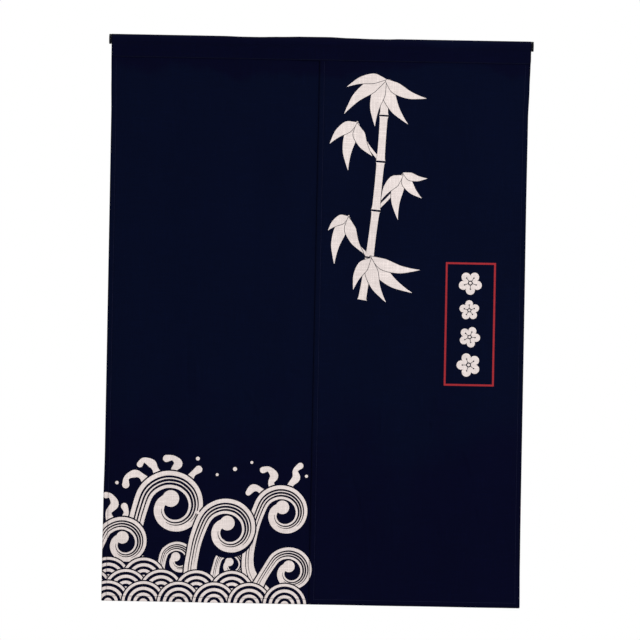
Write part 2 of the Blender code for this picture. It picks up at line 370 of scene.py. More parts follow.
# Fingers of foam, each by (x, drop, half width)
FOAM = (
    ((-0.336, 0.906, 0.0120), (-0.350, 0.890, 0.0060), (-0.364, 0.885, 0.0078),
     (-0.380, 0.893, 0.0052), (-0.382, 0.908, 0.0074)),
    ((-0.312, 0.898, 0.0130), (-0.322, 0.876, 0.0062), (-0.330, 0.864, 0.0086),
     (-0.346, 0.857, 0.0050), (-0.354, 0.866, 0.0062)),
    ((-0.282, 0.896, 0.0130), (-0.284, 0.876, 0.0064), (-0.276, 0.863, 0.0088),
     (-0.286, 0.852, 0.0052), (-0.300, 0.853, 0.0074)),
    ((-0.256, 0.900, 0.0110), (-0.246, 0.884, 0.0056), (-0.234, 0.874, 0.0076)),
    ((-0.092, 0.932, 0.0110), (-0.108, 0.914, 0.0056), (-0.122, 0.910, 0.0076),
     (-0.132, 0.920, 0.0056)),
    ((-0.074, 0.922, 0.0110), (-0.086, 0.900, 0.0058), (-0.080, 0.884, 0.0084),
     (-0.091, 0.871, 0.0052), (-0.103, 0.873, 0.0064)),
    ((-0.050, 0.922, 0.0110), (-0.046, 0.902, 0.0058), (-0.035, 0.888, 0.0080),
     (-0.037, 0.873, 0.0050), (-0.027, 0.863, 0.0064)),
    ((-0.408, 0.990, 0.0110), (-0.416, 0.966, 0.0060), (-0.404, 0.948, 0.0084),
     (-0.412, 0.932, 0.0050), (-0.422, 0.930, 0.0064)),
    ((-0.388, 0.986, 0.0100), (-0.380, 0.966, 0.0052), (-0.384, 0.952, 0.0070)),
)
# Spray, each by (x, drop, radius)
DROPS = (
    (-0.236, 0.852, 0.0040),
    (-0.196, 0.884, 0.0030),
    (-0.160, 0.872, 0.0042),
    (-0.400, 0.904, 0.0035),
    (-0.126, 0.858, 0.0030),
    (-0.014, 0.884, 0.0032),
    (-0.234, 0.962, 0.0035),
)


def wave_line(wave):
    """The middle of a wave, up its tail and round its curl, as (x, drop, half width)."""
    knots = list(wave.tail)
    for knot in range(CURL_KNOTS + 1):
        t = knot / CURL_KNOTS
        radius = wave.size * (1 - CURL_CLOSING * t ** CURL_HASTE)
        angle = math.radians(wave.start) + math.tau * wave.turns * t
        knots.append((wave.x + radius * math.cos(angle), wave.drop + radius * math.sin(angle)))
    path = smooth_line(knots, steps=6)
    lengths = [0.0]
    for start, end in zip(path, path[1:]):
        lengths.append(lengths[-1] + math.dist(start, end))
    shares, swells = zip(*smooth_line(WAVE_SWELL, steps=8))
    halves = wave.weight * wave.size * np.interp(np.array(lengths) / lengths[-1], shares, swells)
    return [(x, drop, half) for (x, drop), half in zip(path, halves.tolist())]


def wave_groove(line, groove):
    """A fine line that runs along a wave, off its middle, thin at both ends."""
    last = len(line) - 1
    lane = []
    for index in range(int(groove.start * last), int(groove.end * last)):
        share = (index / last - groove.start) / (groove.end - groove.start)
        (x, drop, half), (next_x, next_drop, _) = line[index], line[index + 1]
        run = math.hypot(next_x - x, next_drop - drop)
        push = groove.side * half / run
        swell = max(0.0, math.sin(math.pi * share)) ** GROOVE_FULLNESS
        lane.append((x - (next_drop - drop) * push, drop + (next_x - x) * push,
                     groove.half * half * swell + GROOVE_TIP))
    return lane


def sea():
    """The waves' print, from the foam behind to the scales in front."""
    for finger in FOAM:
        yield Patch(WHITE, stroke(smooth_line(finger, steps=7)))
    for wave in WAVES:
        line = wave_line(wave)
        yield Patch(NAVY, disc(wave.x, wave.drop, wave.size))
        yield Patch(NAVY, stroke([(x, drop, half + WAVE_OUTLINE) for x, drop, half in line]))
        yield Patch(WHITE, stroke(line))
        eye_x, eye_drop, eye_half = line[-1]
        yield Patch(WHITE, disc(eye_x, eye_drop, eye_half * WAVE_EYE))
        for groove in GROOVES:
            yield Patch(NAVY, stroke(wave_groove(line, groove)))
    for first_x, drop, count in SCALE_ROWS:
        for place in range(count):
            x = first_x + SCALE_SPACING * place
            yield Patch(NAVY, disc(x, drop, SCALE_RADIUS * SCALE_EDGE, points=52))
            for share, dye in SCALE_RINGS:
                yield Patch(dye, disc(x, drop, SCALE_RADIUS * share, points=48))
    for x, drop, radius in DROPS:
        yield Patch(WHITE, disc(x, drop, radius, points=16))


# The bamboo spray
CANE_NODES = ((0.092, 0.524), (0.106, 0.436), (0.117, 0.340), (0.125, 0.240), (0.130, 0.146),
              (0.132, 0.070))
CANE_JOINT_HALF = 0.0085
# Half widths of one length of cane, by share of its length
CANE_PROFILE = ((0.020, 0.0100), (0.090, 0.0080), (0.500, 0.0074), (0.910, 0.0078), (0.980, 0.0096))
TWIGS = (
    ((0.118, 0.338, 0.0034), (0.150, 0.304, 0.0026), (0.172, 0.262, 0.0018)),
    ((0.126, 0.240, 0.0034), (0.098, 0.206, 0.0026), (0.076, 0.160, 0.0018)),
    ((0.107, 0.436, 0.0034), (0.078, 0.404, 0.0026), (0.062, 0.352, 0.0018)),
)
LEAF_PROFILE = ((0.0, 0.10), (0.12, 0.55), (0.30, 1.0), (0.60, 0.72), (0.85, 0.28), (1.0, 0.02))
LEAF_OUTLINE = 0.0011
LEAF_BOW = 0.10
# Each leaf's foot, the way that it points, in degrees down from +X, and its size
Leaf = namedtuple("Leaf", "x drop turn length width")
LEAVES = (
    Leaf(0.132, 0.074, 62, 0.100, 0.026), Leaf(0.132, 0.074, 102, 0.096, 0.027),
    Leaf(0.132, 0.074, 140, 0.108, 0.026), Leaf(0.132, 0.072, 24, 0.092, 0.023),
    Leaf(0.132, 0.072, 168, 0.080, 0.020), Leaf(0.172, 0.264, 96, 0.094, 0.025),
    Leaf(0.172, 0.264, 52, 0.062, 0.021), Leaf(0.170, 0.268, 130, 0.066, 0.023),
    Leaf(0.172, 0.262, 12, 0.050, 0.016), Leaf(0.076, 0.162, 100, 0.098, 0.026),
    Leaf(0.076, 0.162, 142, 0.070, 0.023), Leaf(0.076, 0.164, 64, 0.072, 0.024),
    Leaf(0.062, 0.354, 106, 0.100, 0.025), Leaf(0.062, 0.354, 146, 0.050, 0.019),
    Leaf(0.062, 0.356, 66, 0.078, 0.023), Leaf(0.108, 0.434, 40, 0.112, 0.027),
    Leaf(0.108, 0.434, 14, 0.104, 0.023), Leaf(0.108, 0.436, 70, 0.096, 0.026),
    Leaf(0.108, 0.438, 118, 0.072, 0.022),
)


def bamboo():
    """A cane in short lengths, its twigs, and its leaves, each with a fine dark edge."""
    for twig in TWIGS:
        yield Patch(WHITE, stroke(smooth_line(twig, steps=6)))
    for (x0, drop0), (x1, drop1) in zip(CANE_NODES, CANE_NODES[1:]):
        ends = [(x0 + (x1 - x0) * share, drop0 + (drop1 - drop0) * share) for share in (0.0, 1.0)]
        yield Patch(NAVY, stroke([(*end, CANE_JOINT_HALF) for end in ends], rounded=False))
        knots = [(x0 + (x1 - x0) * share, drop0 + (drop1 - drop0) * share, half)
                 for share, half in CANE_PROFILE]
        yield Patch(WHITE, stroke(smooth_line(knots, steps=5), rounded=False))
    for leaf in LEAVES:
        angle = math.radians(leaf.turn)
        knots = []
        for share, swell in LEAF_PROFILE:
            run = share * leaf.length
            bow = LEAF_BOW * math.sin(math.pi * share) * leaf.length
            knots.append((leaf.x + run * math.cos(angle) - bow * math.sin(angle),
                          leaf.drop + run * math.sin(angle) + bow * math.cos(angle),
                          swell * leaf.width / 2))
        line = smooth_line(knots, steps=6)
        yield Patch(NAVY, stroke([(x, drop, half + LEAF_OUTLINE) for x, drop, half in line]))
        yield Patch(WHITE, stroke(line))


# The red frame and its blossoms. The frame is left, right, top and bottom.
RED_FRAME = (0.26205, 0.36415, 0.44225, 0.69395)
RED_FRAME_LINE = 0.0038
Blossom = namedtuple("Blossom", "x drop size turn")
BLOSSOMS = (
    Blossom(0.3125, 0.4840, 0.0240, 0.3),
    Blossom(0.3115, 0.5395, 0.0205, 0.9),
    Blossom(0.3130, 0.5940, 0.0215, 0.1),
    Blossom(0.3120, 0.6510, 0.0245, 0.6),
)
PETALS = 5
POINTS_A_PETAL = 20
# A blossom's parts, in shares of its size
NOTCH_REACH = 0.62
PETAL_FULLNESS = 0.7
STAMEN_FOOT = 0.16
STAMEN_TIP = 0.52
HEART = 0.21
HEART_SPOT = 0.12
STAMEN_FOOT_HALF = 0.0007
STAMEN_TIP_HALF = 0.0005
STAMEN_HEAD_RADIUS = 0.0015


def framed_blossoms():
    """Four plain plum blossoms, one above the other, in a red frame."""
    left, right, top, bottom = RED_FRAME
    yield Patch(RED, box(left, right, top, bottom))
    yield Patch(NAVY, box(left + RED_FRAME_LINE, right - RED_FRAME_LINE,
                          top + RED_FRAME_LINE, bottom - RED_FRAME_LINE))
    for x, drop, size, turn in BLOSSOMS:
        rim = []
        for point in range(POINTS_A_PETAL * PETALS):
            angle = math.tau * point / (POINTS_A_PETAL * PETALS)
            swell = abs(math.cos(PETALS / 2 * angle)) ** PETAL_FULLNESS
            reach = size * (NOTCH_REACH + (1 - NOTCH_REACH) * swell)
            rim.append((x + reach * math.cos(angle + turn), drop + reach * math.sin(angle + turn)))
        yield Patch(WHITE, rim)
        for petal in range(PETALS):
            angle = turn + math.tau * petal / PETALS
            across, down = size * math.cos(angle), size * math.sin(angle)
            foot = (x + STAMEN_FOOT * across, drop + STAMEN_FOOT * down)
            tip = (x + STAMEN_TIP * across, drop + STAMEN_TIP * down)
            yield Patch(NAVY, stroke([(*foot, STAMEN_FOOT_HALF), (*tip, STAMEN_TIP_HALF)]))
            yield Patch(NAVY, disc(*tip, STAMEN_HEAD_RADIUS, points=12))
        yield Patch(NAVY, disc(x, drop, HEART * size, points=20))
        yield Patch(WHITE, disc(x, drop, HEART_SPOT * size, points=16))


# Panels, each with the edge that it has in SIDE_EDGES, how far its inner side lies past the slit and
# which way along Y the lap moves it
Panel = namedtuple("Panel", "name edge inner_shift towards seed stitch_seed")
LEFT = Panel("panel_left", LEFT_EDGE, LAP_WIDTH, 1, 11, 41)
RIGHT = Panel("panel_right", RIGHT_EDGE, 0.0, -1, 12, 42)


def panel_sides(panel, drop):
    """The lower and the higher x of a panel at a drop."""
    inner = SLIT_TOP_X + SLIT_LEAN * drop / DROP + panel.inner_shift
    outer = read_table(SIDE_EDGES, drop, panel.edge)
    return np.minimum(inner, outer), np.maximum(inner, outer)


def inward(panel, x, drop):
    """How far places on a panel lie in from its sides and from its bottom fold."""
    low, high = panel_sides(panel, drop)
    return np.minimum(x - low, high - x), DROP - drop


def rim_distance(side, bottom, drop):
    """How far places lie in from the nearest edge, the bottom corners rounded off."""
    corner = CORNER_ROUND - np.hypot(np.maximum(CORNER_ROUND - side, 0),
                                     np.maximum(CORNER_ROUND - bottom, 0))
    near = np.minimum(side, bottom)
    near = np.where(near < CORNER_ROUND, corner, near)
    return np.maximum(np.minimum(near, drop - PANEL_TOP_DROP), 0)


def hem_share(side, bottom, drop):
    """1 in the doubled hems, 0 in the single cloth."""
    in_side = 1 - ease((side - SIDE_HEM) / HEM_STEP + 0.5)
    in_side = in_side * ease((drop - HEM_START_DROP) / HEM_STEP + 1)
    in_bottom = 1 - ease((bottom - BOTTOM_HEM) / HEM_STEP + 0.5)
    return np.maximum(in_side, in_bottom)


def seam_pull(side, bottom, drop):
    """1 along the hems' stitch lines, falling to 0 beside them."""
    beside = np.exp(-(((side - SIDE_STITCH) / GROOVE_HALF) ** 2))
    above = np.exp(-(((bottom - BOTTOM_STITCH) / GROOVE_HALF) ** 2))
    beside = beside * ease((drop - HEM_START_DROP) / HEM_STEP)
    beside = beside * (bottom > BOTTOM_STITCH - GROOVE_HALF)
    above = above * (side > SIDE_STITCH - GROOVE_HALF)
    return np.maximum(beside, above)


def panel_faces(panel, x, drop):
    """The y of a panel's front and back at places on it."""
    side, bottom = inward(panel, x, drop)
    thickness = CLOTH_THICKNESS + (HEM_THICKNESS - CLOTH_THICKNESS) * hem_share(side, bottom, drop)
    front = hang_depth(x, drop) + panel.towards * LAP_SPREAD * lap(x) - CLOTH_THICKNESS / 2
    front = front - crease_ridge(x, drop)
    by_side = np.exp(-(((side - SIDE_STITCH) / HEM_PUCKER_REACH) ** 2))
    by_bottom = np.exp(-(((bottom - BOTTOM_STITCH) / HEM_PUCKER_REACH) ** 2))
    front = front + HEM_PUCKER * uneven(drop, HEM_PUCKER_PITCH, panel.seed) * by_side
    front = front + HEM_PUCKER * uneven(x, HEM_PUCKER_PITCH, panel.seed + 1) * by_bottom
    below_seam = ease((drop - SLEEVE_EDGE_DROP) / GATHER_START)
    below_seam = below_seam * ease((GATHER_END_DROP - drop) / (GATHER_END_DROP - SLEEVE_EDGE_DROP))
    gathers = np.maximum(uneven(x, GATHER_PITCH, GATHER_SEED), -GATHER_HOLLOW)
    front = front - GATHER_RIDGE * gathers * below_seam
    rim = np.clip(rim_distance(side, bottom, drop) / (thickness / 2), 0, 1)
    half = thickness / 2 * np.sqrt(1 - (1 - rim) ** 2)
    groove = STITCH_GROOVE * seam_pull(side, bottom, drop)
    middle = front + thickness / 2
    return middle - half + groove, middle + half - groove


def inset_loop(panel, side, bottom, top):
    """A panel's outline moved in from its sides, its bottom fold and its top edge."""
    turn = max(CORNER_ROUND - side, 0.0)
    last = DROP - bottom
    down = spread(PANEL_TOP_DROP + top, last - turn, MESH_STEP)
    low, high = panel_sides(panel, down)
    low, high = low + side, high - side
    loop = list(zip(low, down))
    angles = np.radians(spread(*CORNER_ANGLES)) if turn else ()
    loop += [(low[-1] + turn - turn * math.cos(angle), last - turn + turn * math.sin(angle))
             for angle in angles]
    loop += [(x, last) for x in spread(low[-1] + turn, high[-1] - turn, MESH_STEP)]
    loop += [(high[-1] - turn + turn * math.sin(angle), last - turn + turn * math.cos(angle))
             for angle in angles]
    loop += list(zip(high[::-1], down[::-1]))
    loop += [(x, down[0]) for x in spread(high[0], low[0], MESH_STEP)[1:-1]]
    return loop


def unrepeated(loop):
    """A loop without points that lie on the one before."""
    return [point for point, before in zip(loop, loop[-1:] + loop[:-1])
            if math.dist(point, before) > SAME_POINT]


def with_short_sides(loop):
    """A loop with points added so that none of its sides is long."""
    fine = []
    for (x0, drop0), (x1, drop1) in zip(loop, loop[1:] + loop[:1]):
        parts = max(1, math.ceil(math.hypot(x1 - x0, drop1 - drop0) / MESH_STEP))
        fine += [(x0 + (x1 - x0) * part / parts, drop0 + (drop1 - drop0) * part / parts)
                 for part in range(parts)]
    return fine


def enclosed(points, loop):
    """Which of the points lie inside a loop."""
    loop = np.asarray(loop)
    inside = np.zeros(len(points), bool)
    near = np.nonzero(np.all((points > loop.min(0)) & (points < loop.max(0)), axis=1))[0]
    x, drop = points[near].T
    winding = np.zeros(len(near), int)
    for (x0, drop0), (x1, drop1) in zip(loop, np.roll(loop, -1, axis=0)):
        turn = (x1 - x0) * (drop - drop0) - (x - x0) * (drop1 - drop0)
        winding += (drop0 <= drop) & (drop < drop1) & (turn > 0)
        winding -= (drop1 <= drop) & (drop < drop0) & (turn < 0)
    inside[near] = winding != 0
    return inside


def inner_points(panel):
    """Staggered rows of points all over a panel, twice as close on its creases."""
    rows = 2 * round((DROP - BOTTOM_HEM - PANEL_TOP_DROP) / MESH_STEP)
    columns = 2 * round(PANEL_CUT[0] / MESH_STEP)
    row, column = np.mgrid[0:rows + 1, 0:columns]
    drop = PANEL_TOP_DROP + (DROP - BOTTOM_HEM - PANEL_TOP_DROP) * row / rows
    low, high = panel_sides(panel, drop)
    x = low + (high - low) * (column + 0.5 * (row % 2 == 0)) / columns
    coarse = (row % 2 == 0) & ((column + row // 2) % 2 == 0)
    creased = np.max([share for _, share in crease_shares(x, drop)], axis=0) > CREASED_FROM
    kept = coarse | creased
    return list(zip(x[kept].tolist(), drop[kept].tolist()))


def panel_plan(panel, patches):
    """A flat panel's points, the edges that follow its hems and its print, and its outline."""
    outline = unrepeated(inset_loop(panel, 0.0, 0.0, 0.0))
    seams = [unrepeated(inset_loop(panel, rim, rim, rim)) for rim in RIM_STEPS[1:]]
    hem_lines = [(SIDE_STITCH + away * GROOVE_HALF, BOTTOM_STITCH + away * GROOVE_HALF)
                 for away in GROOVE_LOOPS]
    hem_lines += [(SIDE_HEM + away, BOTTOM_HEM + away) for away in (-HEM_STEP / 2, HEM_STEP / 2)]
    seams += [unrepeated(inset_loop(panel, side, bottom, HEM_LOOP_TOP + side / 20))
              for side, bottom in hem_lines]
    low, high = panel_sides(panel, np.array([PANEL_TOP_DROP, DROP]))
    prints = [with_short_sides(patch.loop) for patch in patches
              if max(patch.loop)[0] > low.min() and min(patch.loop)[0] < high.max()]
    loops = [outline] + seams + prints
    tree = KDTree(sum(len(loop) for loop in loops))
    coordinates, edges = [], []
    for loop in loops:
        first = len(coordinates)
        coordinates += loop
        edges += [(first + place, first + (place + 1) % len(loop)) for place in range(len(loop))]
    for index, (x, drop) in enumerate(coordinates):
        tree.insert((x, drop, 0), index)
    tree.balance()
    coordinates += [(x, drop) for x, drop in inner_points(panel)
                    if tree.find((x, drop, 0))[2] > LOOP_CLEARANCE]
    return coordinates, edges, outline


def cut_panel(panel, patches):
    """A panel's points, its triangles and the dye of each."""
    coordinates, edges, outline = panel_plan(panel, patches)
    points, _, triangles, _, _, _ = delaunay_2d_cdt(coordinates, edges, [], 0, SAME_POINT)
    points = np.array(points)
    triangles = np.array(triangles)
    corners = points[triangles]
    first, second = corners[:, 1] - corners[:, 0], corners[:, 2] - corners[:, 0]
    area = first[:, 0] * second[:, 1] - first[:, 1] * second[:, 0]
    triangles[area > 0] = triangles[area > 0][:, ::-1]
    centres = corners.mean(1)
    kept = enclosed(centres, outline) & (np.abs(area) > LEAST_AREA)
    triangles, centres = triangles[kept], centres[kept]
    used, triangles = np.unique(triangles, return_inverse=True)
    dyes = np.full(len(centres), NAVY, object)
    for patch in patches:
        dyes[enclosed(centres, patch.loop)] = patch.dye
    return points[used], triangles.reshape(-1, 3), centres, dyes


def rim_points(faces):
    """The points on edges that only one face has."""
    edges = np.concatenate([np.stack([faces[:, place], np.roll(faces, -1, axis=1)[:, place]], axis=1)
                            for place in range(faces.shape[1])])
    pairs, counts = np.unique(np.sort(edges, axis=1), axis=0, return_counts=True)
    return np.unique(pairs[counts == 1])


def doubled_sheet(name, front, back, faces, flat, slots, painted_seam_shade, painted_edge_shade):
    """A closed sheet of cloth: a front and a back that join at the rim.

    flat has each point's place on the flat cloth, slots the material number of each front and then each
    back face, and pressed and painted_edge_shade say how much painted shade each point takes along a seam
    line and round the turn of the cloth's edge.
    """
    rim = np.zeros(len(front), bool)
    rim[rim_points(faces)] = True
    behind = np.arange(len(front))
    behind[~rim] = len(front) + np.arange(np.count_nonzero(~rim))
    places = np.concatenate([front, back[~rim]])
    both = np.concatenate([faces, behind[faces[:, ::-1]]])
    mesh = bpy.data.meshes.new(name)
    mesh.from_pydata(places.tolist(), [], both.tolist())
    origin = np.concatenate([np.arange(len(front)), np.nonzero(~rim)[0]])
    corner_points = np.empty(len(mesh.loops), int)
    mesh.loops.foreach_get("vertex_index", corner_points)
    layer = mesh.uv_layers.new(name="weave")
    layer.data.foreach_set("uv", flat[origin[corner_points]].ravel())
    mesh.polygons.foreach_set("material_index", slots)
    for label, values in (("painted_seam_shade", painted_seam_shade), ("painted_edge_shade", painted_edge_shade)):
        attribute = mesh.attributes.new(label, "FLOAT", "POINT")
        attribute.data.foreach_set("value", values[origin])
    mesh.shade_smooth()
    mesh.update()
    return mesh


def panel_mesh(panel, patches):
    """A hanging panel with its print, its rolled hems on the back and its stitch lines."""
    points, triangles, centres, dyes = cut_panel(panel, patches)
    x, drop = points.T
    front_y, back_y = panel_faces(panel, x, drop)
    front = np.stack([x, front_y, -drop], axis=1)
    back = np.stack([x, back_y, -drop], axis=1)
    side, bottom = inward(panel, centres[:, 0], centres[:, 1])
    in_hem = (side < SIDE_HEM + HEM_STEP / 2) | (bottom < BOTTOM_HEM + HEM_STEP / 2)
    front_slots = np.array([PANEL_CLOTHS.index(dye) for dye in dyes])
    back_slots = np.where(in_hem, PANEL_CLOTHS.index(NAVY), front_slots + len(DYES))
    side, bottom = inward(panel, x, drop)
    # Painted shade round the cloth's rolled rim and along the hems' stitch lines
    painted_edge_shade = np.exp(-((rim_distance(side, bottom, drop) / PANEL_EDGE_SHADE) ** 2))
    return doubled_sheet(panel.name + "_cloth", front, back, triangles, points,
                         np.concatenate([front_slots, back_slots]),
                         seam_pull(side, bottom, drop), painted_edge_shade)


def hem_paths(panel):
    """The stitch lines of a panel's hems, each a list of points and the way that it faces."""
    down = spread(HEM_START_DROP + HEM_STEP, DROP - BOTTOM_STITCH, STITCH_PITCH)
    low, high = panel_sides(panel, down)
    lines = [(low + SIDE_STITCH, down), (high - SIDE_STITCH, down)]
    across = spread(low[-1] + SIDE_STITCH, high[-1] - SIDE_STITCH, STITCH_PITCH)
    lines.append((across, np.full(len(across), DROP - BOTTOM_STITCH)))
    for x, drop in lines:
        front_y, back_y = panel_faces(panel, x, drop)
        yield np.stack([x, front_y, -drop], axis=1), -1
        yield np.stack([x, back_y, -drop], axis=1), 1


# Sleeve
ARC_STEPS = 30
NECK_STEPS = 9
# Places up a leg from its edge
LEG_PLACES = RIM_STEPS + (0.0013, 0.0016, 0.0020, 0.0026, 0.0040, 0.0065, 0.0090, 0.0120, 0.0150)
HUG_PLAY = 0.00008
SLEEVE_EDGE_WAVER = 0.0004
SLEEVE_EDGE_PITCH = 0.045
SLEEVE_EDGE_SEED = 35
SLEEVE_END = 0.004
SLEEVE_EDGE_SHADE = 0.0014
SLEEVE_SEAM_DROP = 0.0348
SLEEVE_SEAM_END = 0.4258
SLEEVE_GROOVE = 0.00022
SLEEVE_GROOVE_HALF = 0.0005
SLEEVE_STITCH_SEED = 41
SLEEVE_RIDGE = 0.00030
SLEEVE_RIDGE_LIFT = 0.3
SLEEVE_RIDGE_TOP = 0.004
SLEEVE_RIDGE_EASE = (0.014, 0.006)
SLEEVE_RIDGE_PITCH = 0.019
SLEEVE_RIDGE_SEEDS = (31, 33)
FINE_RIDGE_SHARE = 0.6


def sleeve_leg(x):
    """How far each leg's middle lies from the hanging plane."""
    return CLOTH_THICKNESS + FIT_GAP + SEAM_PLAY + LAP_SPREAD * lap(x)


def sleeve_swell(x, drop, side):
    """How far the sleeve's cloth stands out between the rod and its seam, as soft gathers.

    side is 0 on the front leg and 1 on the back one.
    """
    window = ease((drop - SLEEVE_RIDGE_TOP) / SLEEVE_RIDGE_EASE[0])
    window = window * ease((SLEEVE_SEAM_DROP - drop) / SLEEVE_RIDGE_EASE[1])
    wander = uneven(x, SLEEVE_RIDGE_PITCH, SLEEVE_RIDGE_SEEDS[0] + side)
    wander = wander + FINE_RIDGE_SHARE * uneven(x, SLEEVE_RIDGE_PITCH / 2, SLEEVE_RIDGE_SEEDS[1] + side)
    return SLEEVE_RIDGE * np.maximum(wander + SLEEVE_RIDGE_LIFT, 0) * window


def sleeve_line(x):
    """The middle line of the sleeve's section at one x: (y, z) points, front edge to back edge."""
    hug = ROD_DIAMETER / 2 + FIT_GAP + HUG_PLAY + CLOTH_THICKNESS / 2
    lift = SLEEVE_SLACK + read_table(SLEEVE_TOP, x, 1)
    angles = np.linspace(-SLEEVE_HUG_ANGLE, math.pi + SLEEVE_HUG_ANGLE, ARC_STEPS + 1)
    upward = np.maximum(0.0, np.sin(angles)) ** 2
    arc = np.stack([-hug * np.cos(angles), hug * np.sin(angles) + lift * upward], axis=1)
    leg_y = sleeve_leg(x)
    edge = SLEEVE_EDGE_DROP + SLEEVE_EDGE_WAVER * (uneven(x, SLEEVE_EDGE_PITCH, SLEEVE_EDGE_SEED) - 1) / 2
    leg = np.array([(-leg_y, -edge + place) for place in LEG_PLACES])
    flat_start = np.array((-leg_y, -SLEEVE_FLAT_DROP))
    leaving = np.array((math.sin(SLEEVE_HUG_ANGLE), -math.cos(SLEEVE_HUG_ANGLE)))
    reach = (arc[0][1] - flat_start[1]) / 2
    handles = (flat_start, flat_start + (0, reach), arc[0] + leaving * reach, arc[0])
    t = np.linspace(0, 1, NECK_STEPS, endpoint=False)[:, None]
    weights = ((1 - t) ** 3, 3 * t * (1 - t) ** 2, 3 * t * t * (1 - t), t ** 3)
    neck = sum(weight * handle for weight, handle in zip(weights, handles))
    front = np.concatenate([leg, neck])
    return np.concatenate([front, arc, (front * (-1, 1))[::-1]])


def sleeve_mesh():
    """The heading sleeve: one strip folded over the rod, its edges rolled and its seam stitched."""
    low, high = read_table(SIDE_EDGES, 0.0, LEFT_EDGE), read_table(SIDE_EDGES, 0.0, RIGHT_EDGE)
    inner = spread(low + SLEEVE_END, high - SLEEVE_END, MESH_STEP)
    rim = np.array(RIM_STEPS)
    stations = np.concatenate([low + rim, inner, (high - rim)[::-1]])
    front, back, flat, painted_seam_shade, painted_edge_shade = [], [], [], [], []
    for station in stations:
        line = sleeve_line(station)
        steps = np.linalg.norm(np.diff(line, axis=0), axis=1)
        run = np.concatenate([[0], np.cumsum(steps)])
        along = np.gradient(line, axis=0)
        along /= np.linalg.norm(along, axis=1)[:, None]
        outward = np.stack([-along[:, 1], along[:, 0]], axis=1)
        y, z = line.T
        share = (station - low) / (high - low)
        x = read_table(SIDE_EDGES, -z, LEFT_EDGE) * (1 - share)
        x = x + read_table(SIDE_EDGES, -z, RIGHT_EDGE) * share
        edge_run = np.minimum(run, run[-1] - run)
        from_rim = np.minimum(edge_run, min(station - low, high - station))
        rolled = np.clip(from_rim / (CLOTH_THICKNESS / 2), 0, 1)
        half = CLOTH_THICKNESS / 2 * np.sqrt(1 - (1 - rolled) ** 2)
        pull = np.exp(-(((-z - SLEEVE_SEAM_DROP) / SLEEVE_GROOVE_HALF) ** 2))
        swell = np.where(y < 0, sleeve_swell(station, -z, 0), sleeve_swell(station, -z, 1))
        outer = line + outward * (swell + half - SLEEVE_GROOVE * pull)[:, None]
        inner_side = line + outward * (swell - half)[:, None]
        front.append(np.column_stack([x, outer]))
        back.append(np.column_stack([x, inner_side]))
        flat.append(np.column_stack([x, run]))
        # Painted shade along the seam line and round the sleeve's rolled edges
        painted_seam_shade.append(pull)
        painted_edge_shade.append(np.exp(-((from_rim / SLEEVE_EDGE_SHADE) ** 2)))
    length = len(front[0])
    grid = np.arange(len(stations) * length).reshape(len(stations), length)
    faces = np.stack([grid[:-1, :-1], grid[1:, :-1], grid[1:, 1:], grid[:-1, 1:]], axis=-1)
    faces = faces.reshape(-1, 4)
    return doubled_sheet("heading_sleeve_cloth", np.concatenate(front), np.concatenate(back), faces,
                         np.concatenate(flat), np.zeros(2 * len(faces), int),
                         np.concatenate(painted_seam_shade), np.concatenate(painted_edge_shade))


def sleeve_paths():
    """The sleeve's seam on its front and its back leg."""
    x = spread(-SLEEVE_SEAM_END, SLEEVE_SEAM_END, STITCH_PITCH)
    away = sleeve_leg(x) + CLOTH_THICKNESS / 2 - SLEEVE_GROOVE
    for side in (-1, 1):
        yield np.stack([x, side * away, np.full(len(x), -SLEEVE_SEAM_DROP)], axis=1), side


# Caps
CAP_SIDES = 96
CAP_ROUND_STEPS = 8
CAP_LIP_ROUND = 0.0004
CAP_FACE_RING = 0.0045
CAP_SHARP_FROM = math.radians(50)


def cap_mesh(name, side):
    """A push-on rubber cap: a short cup over the rod's end, its outer rim and its mouth rounded."""
    face = OVERALL_WIDTH / 2
    rim = face - CAP_LENGTH
    radius = CAP_DIAMETER / 2
    bore = ROD_DIAMETER / 2 + FIT_GAP
    lip = CAP_LIP_ROUND
    bottom = face - CAP_END_WALL
    outline = [(bottom, 0.0), (bottom, bore - lip), (bottom - lip, bore)]
    outline += [(rim + lip, bore), (rim, bore + lip), (rim, radius - lip)]
    outline += [(rim + lip * (1 - math.cos(angle)), radius - lip * (1 - math.sin(angle)))
                for angle in np.radians((30, 60, 90))]
    for step in range(CAP_ROUND_STEPS + 1):
        angle = math.pi / 2 * step / CAP_ROUND_STEPS
        outline.append((face - CAP_EDGE_ROUND * (1 - math.sin(angle)),
                        radius - CAP_EDGE_ROUND * (1 - math.cos(angle))))
    outline += [(face, CAP_FACE_RING), (face, 0.0)]
    angles = [math.tau * turn / CAP_SIDES for turn in range(CAP_SIDES)]
    places = [(side * outline[0][0], 0, 0), (side * outline[-1][0], 0, 0)]
    for x, reach in outline[1:-1]:
        places += [(side * x, reach * math.cos(angle), reach * math.sin(angle)) for angle in angles]
    rings = len(outline) - 2
    last = 2 + (rings - 1) * CAP_SIDES
    faces = []
    for turn in range(CAP_SIDES):
        after = (turn + 1) % CAP_SIDES
        faces.append((0, 2 + after, 2 + turn))
        faces.append((1, last + turn, last + after))
        for ring in range(rings - 1):
            start = 2 + ring * CAP_SIDES
            following = start + CAP_SIDES
            faces.append((start + turn, start + after, following + after, following + turn))
    if side < 0:
        faces = [face[::-1] for face in faces]
    mesh = bpy.data.meshes.new(name)
    mesh.from_pydata(places, [], faces)
    mesh.shade_smooth()
    mesh.set_sharp_from_angle(angle=CAP_SHARP_FROM)
    mesh.update()
    return mesh


SEED_SHIFT = (17.3, 9.1)


